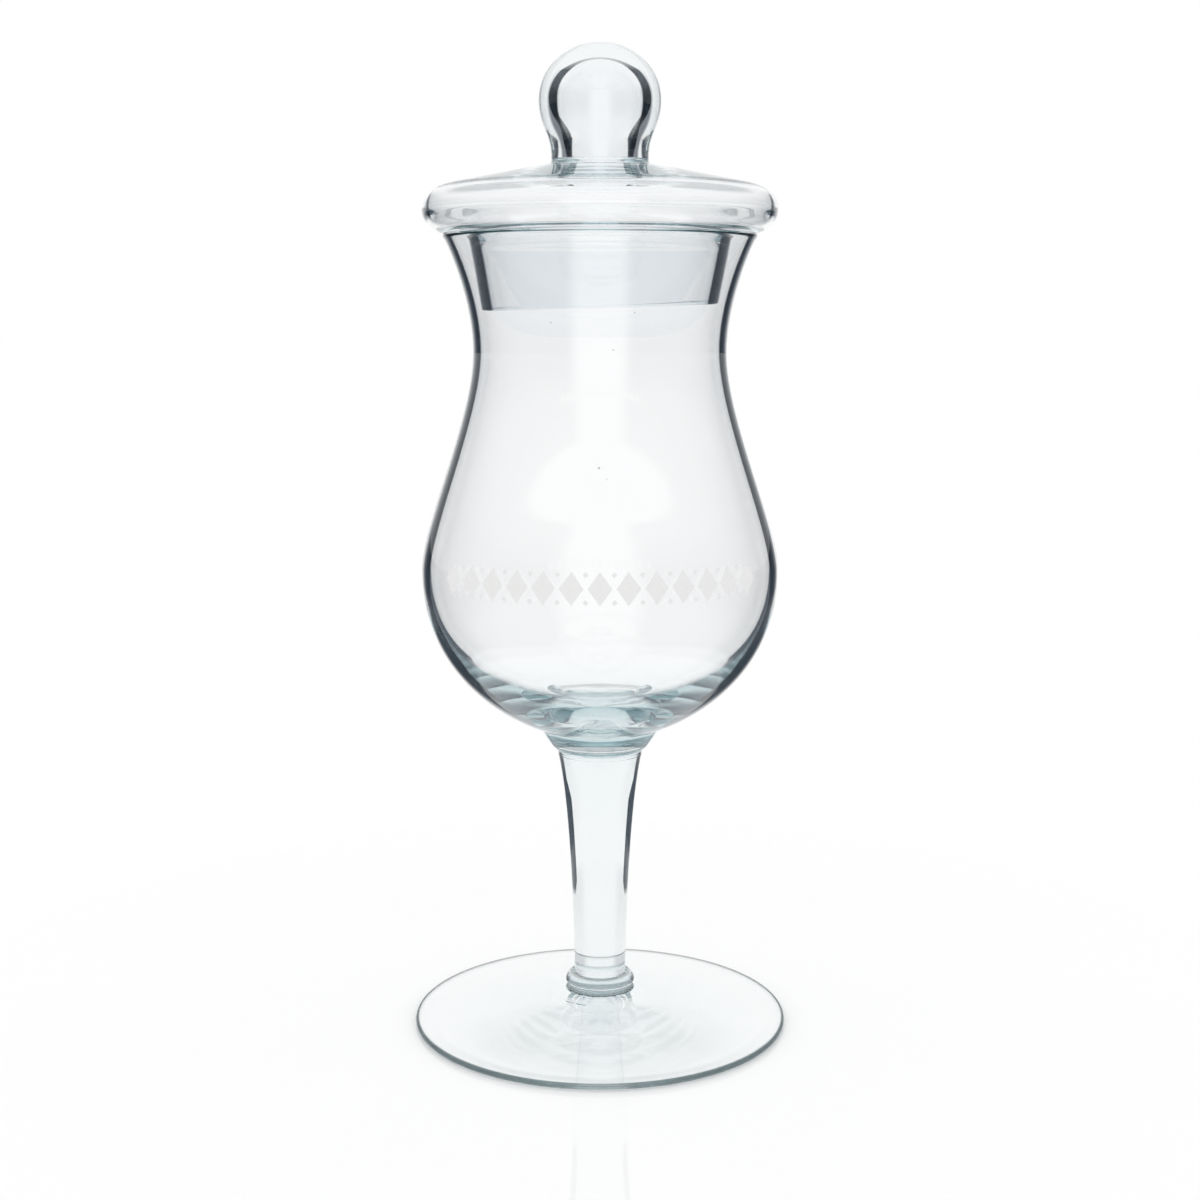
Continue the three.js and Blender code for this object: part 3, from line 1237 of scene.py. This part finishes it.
@dataclass
class Frieze:
    """The printed row of lozenges round the front of the bowl, with a pair of dots between two."""

    bowl: Bowl
    height: float = 93.5
    count: int = 13
    pitch: float = 5.2
    lozenge: Share = (4.5, 6.2)
    dot: Share = (1.1, 1.1)
    dot_rise: float = 2.5
    parts: int = 8
    gap: float = 0.01
    film: float = 0.03

    def lay(self, shape: bmesh.types.BMesh, across: float, up: float, size: Share) -> None:
        """Lays one flat lozenge on the unrolled wall.

        Args:
            shape: the mesh that gets it, with x across and y up, in millimetres.
            across: how far its middle is from the middle of the row.
            up: how far its middle is above the row.
            size: its width and height.
        """
        turned = Matrix.Rotation(math.radians(45), 4, "Z")
        scaled = Matrix.Diagonal((size[0] / math.sqrt(2), size[1] / math.sqrt(2), 1, 1))
        bmesh.ops.create_grid(
            shape,
            x_segments=self.parts,
            y_segments=self.parts,
            size=0.5,
            matrix=Matrix.Translation((across, up, 0)) @ scaled @ turned,
        )

    def roll(self, shape: bmesh.types.BMesh) -> None:
        """Rolls the flat row round the front of the bowl, and turns it to metres.

        Args:
            shape: the row, with x across, y up and z out, in millimetres.
        """
        wall = self.bowl.outside()
        middle = radius_at(wall, self.height)
        for vert in shape.verts:
            height = self.height + vert.co.y
            radius = radius_at(wall, height) + self.gap + vert.co.z
            angle = vert.co.x / middle
            spot = Vector((radius * math.sin(angle), -radius * math.cos(angle), height))
            vert.co = spot * MM

    def build(self) -> bpy.types.Object:
        """Lays the row, gives it a thickness and rolls it round the bowl.

        Returns:
            The print, riding on the goblet.
        """
        shape = bmesh.new()
        for number in range(self.count):
            across = (number - (self.count - 1) / 2) * self.pitch
            self.lay(shape, across, 0, self.lozenge)
            if number:
                for side in (-1, 1):
                    self.lay(shape, across - self.pitch / 2, side * self.dot_rise, self.dot)
        flat = list(shape.faces)
        raised = bmesh.ops.extrude_face_region(shape, geom=flat, use_keep_orig=True)
        top = [part for part in raised["geom"] if isinstance(part, bmesh.types.BMVert)]
        bmesh.ops.translate(shape, verts=top, vec=(0, 0, self.film))
        bmesh.ops.recalc_face_normals(shape, faces=shape.faces)
        self.roll(shape)
        for face in shape.faces:
            face.smooth = False
        frieze = place_mesh(shape, "print_frieze", "print_frieze")
        frieze.data.materials.append(FiredPrint().material())
        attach(frieze, "goblet")
        log.info("%s: %d faces", frieze.name, len(frieze.data.polygons))
        return frieze


@dataclass
class Goblet:
    """The standing glass: foot, collar, stem and bowl, fused hot, and the print on the bowl."""

    glass: ClearGlass = field(default_factory=ClearGlass)
    pieces: list[bpy.types.Object] = field(default_factory=list)

    def build(self) -> None:
        """Builds the four pieces from the table up, and the print."""
        foot = Foot(
            "foot",
            "goblet",
            self.glass,
            corner=0.2,
            fused_heights=(FOOT_TOP - JOINT_GAP,),
            fused_radius=COLLAR_RADIUS,
        )
        collar = Collar(
            "foot_collar",
            "goblet",
            self.glass,
            corner=0.12,
            fused_heights=(FOOT_TOP + JOINT_GAP, COLLAR_TOP - JOINT_GAP),
            fused_radius=6.55,
        )
        stem = Stem(
            "stem",
            "goblet",
            self.glass,
            corner=0.08,
            fused_heights=(COLLAR_TOP + JOINT_GAP, STEM_TOP - JOINT_GAP),
            fused_radius=8.3,
        )
        bowl = Bowl(
            "bowl",
            "goblet",
            self.glass,
            corner=0.3,
            fused_heights=(STEM_TOP + JOINT_GAP,),
            fused_radius=STEM_TOP_RADIUS,
        )
        for part in (foot, collar, stem, bowl, Frieze(bowl)):
            self.pieces.append(part.build())


@dataclass
class Lid:
    """The loose lid: the blown cover and the knob fused on it."""

    glass: ClearGlass = field(default_factory=ClearGlass)
    pieces: list[bpy.types.Object] = field(default_factory=list)

    def build(self) -> None:
        """Builds the cover and the knob."""
        cover = LidCover(
            "lid_cover",
            "lid",
            self.glass,
            corner=0.25,
            fused_heights=(COVER_TOP - JOINT_GAP,),
            fused_radius=NECK_RADIUS,
        )
        knob = Knob(
            "lid_knob",
            "lid",
            self.glass,
            corner=0.1,
            fused_heights=(COVER_TOP + JOINT_GAP,),
            fused_radius=NECK_RADIUS,
        )
        for part in (cover, knob):
            self.pieces.append(part.build())


@dataclass
class Studio:
    """A white table under a white sky, with a tall dark flag on each side of the glass.

    Only mirrored light sees the flags, and the table's far end, painted dark beyond table_radius,
    so that they draw the glass's edges and leave the background white. No real studio parts its
    light so. The sky is a little cooler where it is seen through many walls, besides the glass's
    own tint.
    """

    sheet_radius: float = 9000.0
    sheet_gap: float = 0.02
    sheet_sides: int = 64
    sheet_roughness: float = 0.04
    table_radius: float = 105.0
    table_fade: float = 0.05
    gloss_radius: float = 150.0
    gloss_core: float = 0.6
    gloss: float = 0.25
    flag_start: float = 0.3
    flag_full: float = 0.55
    flag_low: float = 0.1
    flag_rise: float = 0.5
    flag_hex: str = "575e69"
    inner_share: float = 0.9
    outer_share: float = 0.6
    table_share: float = 1.0
    cool_hex: str = "e4ebf2"
    cool_surfaces: float = 16.0
    sensor: float = 36.0
    lens: float = 55.8
    camera_pitch: float = 8.847
    nearest: float = 0.01
    farthest: float = 100.0

    def build(self) -> None:
        """Builds the table, the light and the camera."""
        self.build_table()
        self.build_light()
        self.build_camera()

    def beside(self, tree: bpy.types.NodeTree, aim: bpy.types.NodeSocket) -> bpy.types.NodeSocket:
        """Tells how far a direction points to the left or right.

        Args:
            tree: the node tree of the sky or the table.
            aim: the direction, or a place as seen from the glass.

        Returns:
            0 in front and behind, and 1 where a flag stands.
        """
        level = add_node(tree, "ShaderNodeVectorMath", {"operation": "NORMALIZE"}, {0: aim})
        parts = add_node(tree, "ShaderNodeSeparateXYZ", {}, {0: level.outputs["Vector"]})
        across = add_node(
            tree, "ShaderNodeMath", {"operation": "ABSOLUTE"}, {0: parts.outputs["X"]}
        )
        share = add_node(
            tree,
            "ShaderNodeMapRange",
            {
                "interpolation_type": "SMOOTHSTEP",
                "From Min": self.flag_start,
                "From Max": self.flag_full,
            },
            {"Value": across.outputs[0]},
        )
        return share.outputs["Result"]

    def undimmed(
        self, tree: bpy.types.NodeTree, path: bpy.types.Node, value: bpy.types.NodeSocket
    ) -> bpy.types.NodeSocket:
        """Lets a value count only for light that no matt surface has scattered.

        Args:
            tree: the node tree of the sky or the table.
            path: its Light Path node.
            value: the value.

        Returns:
            The value, or 0 for what lights the table and the print.
        """
        clear = add_node(
            tree,
            "ShaderNodeMath",
            {"operation": "LESS_THAN", 1: 0.5},
            {0: path.outputs["Diffuse Depth"]},
        )
        kept = add_node(
            tree, "ShaderNodeMath", {"operation": "MULTIPLY"}, {0: value, 1: clear.outputs[0]}
        )
        return kept.outputs[0]

    def flag_share(
        self, tree: bpy.types.NodeTree, aim: bpy.types.NodeSocket, outer_share: float
    ) -> bpy.types.NodeSocket:
        """Tells how far a ray sees the dark flags in place of the white studio.

        Args:
            tree: the node tree of the sky or the table.
            aim: the direction of the ray, or a place as seen from the glass.
            outer_share: how far the outside of the glass mirrors the flags.

        Returns:
            0 for the camera, for light that only passes through glass and for what lights the
            table, outer_share for what the glass mirrors outside, and inner_share for what it
            mirrors inside.
        """
        path = add_node(tree, "ShaderNodeLightPath", {}, {})
        mirrored = add_node(
            tree,
            "ShaderNodeMath",
            {"operation": "MINIMUM", 1: 1.0},
            {0: path.outputs["Glossy Depth"]},
        )
        inside = add_node(
            tree,
            "ShaderNodeMapRange",
            {"To Min": outer_share, "To Max": self.inner_share},
            {"Value": path.outputs["Transmission Depth"]},
        )
        seen = add_node(
            tree,
            "ShaderNodeMath",
            {"operation": "MULTIPLY"},
            {0: mirrored.outputs[0], 1: inside.outputs["Result"]},
        )
        flagged = add_node(
            tree,
            "ShaderNodeMath",
            {"operation": "MULTIPLY"},
            {0: self.undimmed(tree, path, seen.outputs[0]), 1: self.beside(tree, aim)},
        )
        return flagged.outputs[0]

    def white_acrylic(self) -> bpy.types.Material:
        """Builds the table's sheet: white cast acrylic, with a faint mirror image near the glass.

        Returns:
            The material, its far part beside the glass painted dark for the light that the glass
            mirrors.
        """
        made = new_material("white_gloss_acrylic")
        tree = made.node_tree
        place = add_node(tree, "ShaderNodeTexCoord", {}, {})
        reach = add_node(
            tree, "ShaderNodeVectorMath", {"operation": "LENGTH"}, {0: place.outputs["Object"]}
        )
        beyond = add_node(
            tree,
            "ShaderNodeMapRange",
            {
                "interpolation_type": "SMOOTHSTEP",
                "From Min": self.table_radius * MM * (1 - self.table_fade),
                "From Max": self.table_radius * MM * (1 + self.table_fade),
            },
            {"Value": reach.outputs["Value"]},
        )
        # Painted shade: beyond table_radius, left and right, the sheet turns to the flags' grey for
        # mirrored light only.
        flags = self.flag_share(tree, place.outputs["Object"], self.table_share)
        dark = add_node(
            tree,
            "ShaderNodeMath",
            {"operation": "MULTIPLY"},
            {0: beyond.outputs["Result"], 1: flags},
        )
        colour = add_node(
            tree,
            "ShaderNodeMix",
            {"data_type": "RGBA", 6: WHITE, 7: linear(self.flag_hex)},
            {0: dark.outputs[0]},
        )
        gloss = add_node(
            tree,
            "ShaderNodeMapRange",
            {
                "interpolation_type": "SMOOTHSTEP",
                "From Min": self.gloss_radius * MM * self.gloss_core,
                "From Max": self.gloss_radius * MM,
                "To Min": self.gloss,
                "To Max": 0.0,
            },
            {"Value": reach.outputs["Value"]},
        )
        sheet = add_node(
            tree,
            "ShaderNodeBsdfPrincipled",
            {"Roughness": self.sheet_roughness},
            {"Base Color": colour.outputs[2], "Specular IOR Level": gloss.outputs["Result"]},
        )
        add_node(tree, "ShaderNodeOutputMaterial", {}, {"Surface": sheet.outputs[0]})
        return made

    def build_table(self) -> None:
        """Lays the white sheet under the glass."""
        shape = bmesh.new()
        bmesh.ops.create_circle(
            shape, cap_ends=True, segments=self.sheet_sides, radius=self.sheet_radius * MM
        )
        bmesh.ops.translate(shape, verts=shape.verts, vec=(0, 0, -self.sheet_gap * MM))
        table = place_mesh(shape, "table", "table")
        table.data.materials.append(self.white_acrylic())

    def build_light(self) -> None:
        """Sets the white sky and the two dark flags, which fade out upwards."""
        world = bpy.data.worlds.new("white_studio")
        bpy.context.scene.world = world
        world.use_nodes = True
        tree = world.node_tree
        tree.nodes.clear()
        place = add_node(tree, "ShaderNodeTexCoord", {}, {})
        direction = place.outputs["Generated"]
        height = add_node(tree, "ShaderNodeSeparateXYZ", {}, {0: direction})
        flags = add_node(
            tree,
            "ShaderNodeMapRange",
            {
                "interpolation_type": "SMOOTHSTEP",
                "From Min": self.flag_low,
                "From Max": self.flag_rise,
                "To Max": 0.0,
            },
            {
                "Value": height.outputs["Z"],
                "To Min": self.flag_share(tree, direction, self.outer_share),
            },
        )
        path = add_node(tree, "ShaderNodeLightPath", {}, {})
        through = add_node(
            tree,
            "ShaderNodeMath",
            {"operation": "DIVIDE", 1: self.cool_surfaces, "use_clamp": True},
            {0: path.outputs["Transmission Depth"]},
        )
        tone = add_node(
            tree,
            "ShaderNodeMix",
            {"data_type": "RGBA", 6: WHITE, 7: linear(self.cool_hex)},
            {0: self.undimmed(tree, path, through.outputs[0])},
        )
        flagged = add_node(
            tree,
            "ShaderNodeMix",
            {"data_type": "RGBA", 7: linear(self.flag_hex)},
            {0: flags.outputs["Result"], 6: tone.outputs[2]},
        )
        sky = add_node(tree, "ShaderNodeBackground", {}, {"Color": flagged.outputs[2]})
        add_node(tree, "ShaderNodeOutputWorld", {}, {"Surface": sky.outputs[0]})

    def build_camera(self) -> None:
        """Stands the camera where the photograph was taken from."""
        camera = bpy.data.cameras.new("camera")
        camera.sensor_width = self.sensor
        camera.lens = self.lens
        camera.clip_start = self.nearest
        camera.clip_end = self.farthest
        stand = bpy.data.objects.new("camera", camera)
        stand.location = (0, -CAMERA_DISTANCE * MM, CAMERA_HEIGHT * MM)
        stand.rotation_euler = (math.radians(90 - self.camera_pitch), 0, 0)
        bpy.context.scene.collection.objects.link(stand)
        bpy.context.scene.camera = stand


def main() -> None:
    """Builds the glass, its lid and the studio."""
    logging.basicConfig(level=logging.INFO, format="%(message)s")
    scene = bpy.context.scene
    scene.view_settings.view_transform = "Standard"
    scene.cycles.max_bounces = ALL_BOUNCES
    scene.cycles.transmission_bounces = PASSING_BOUNCES
    scene.cycles.glossy_bounces = MIRRORED_BOUNCES
    scene.cycles.blur_glossy = 0.0
    Studio().build()
    Goblet().build()
    Lid().build()


if __name__ == "__main__":
    main()
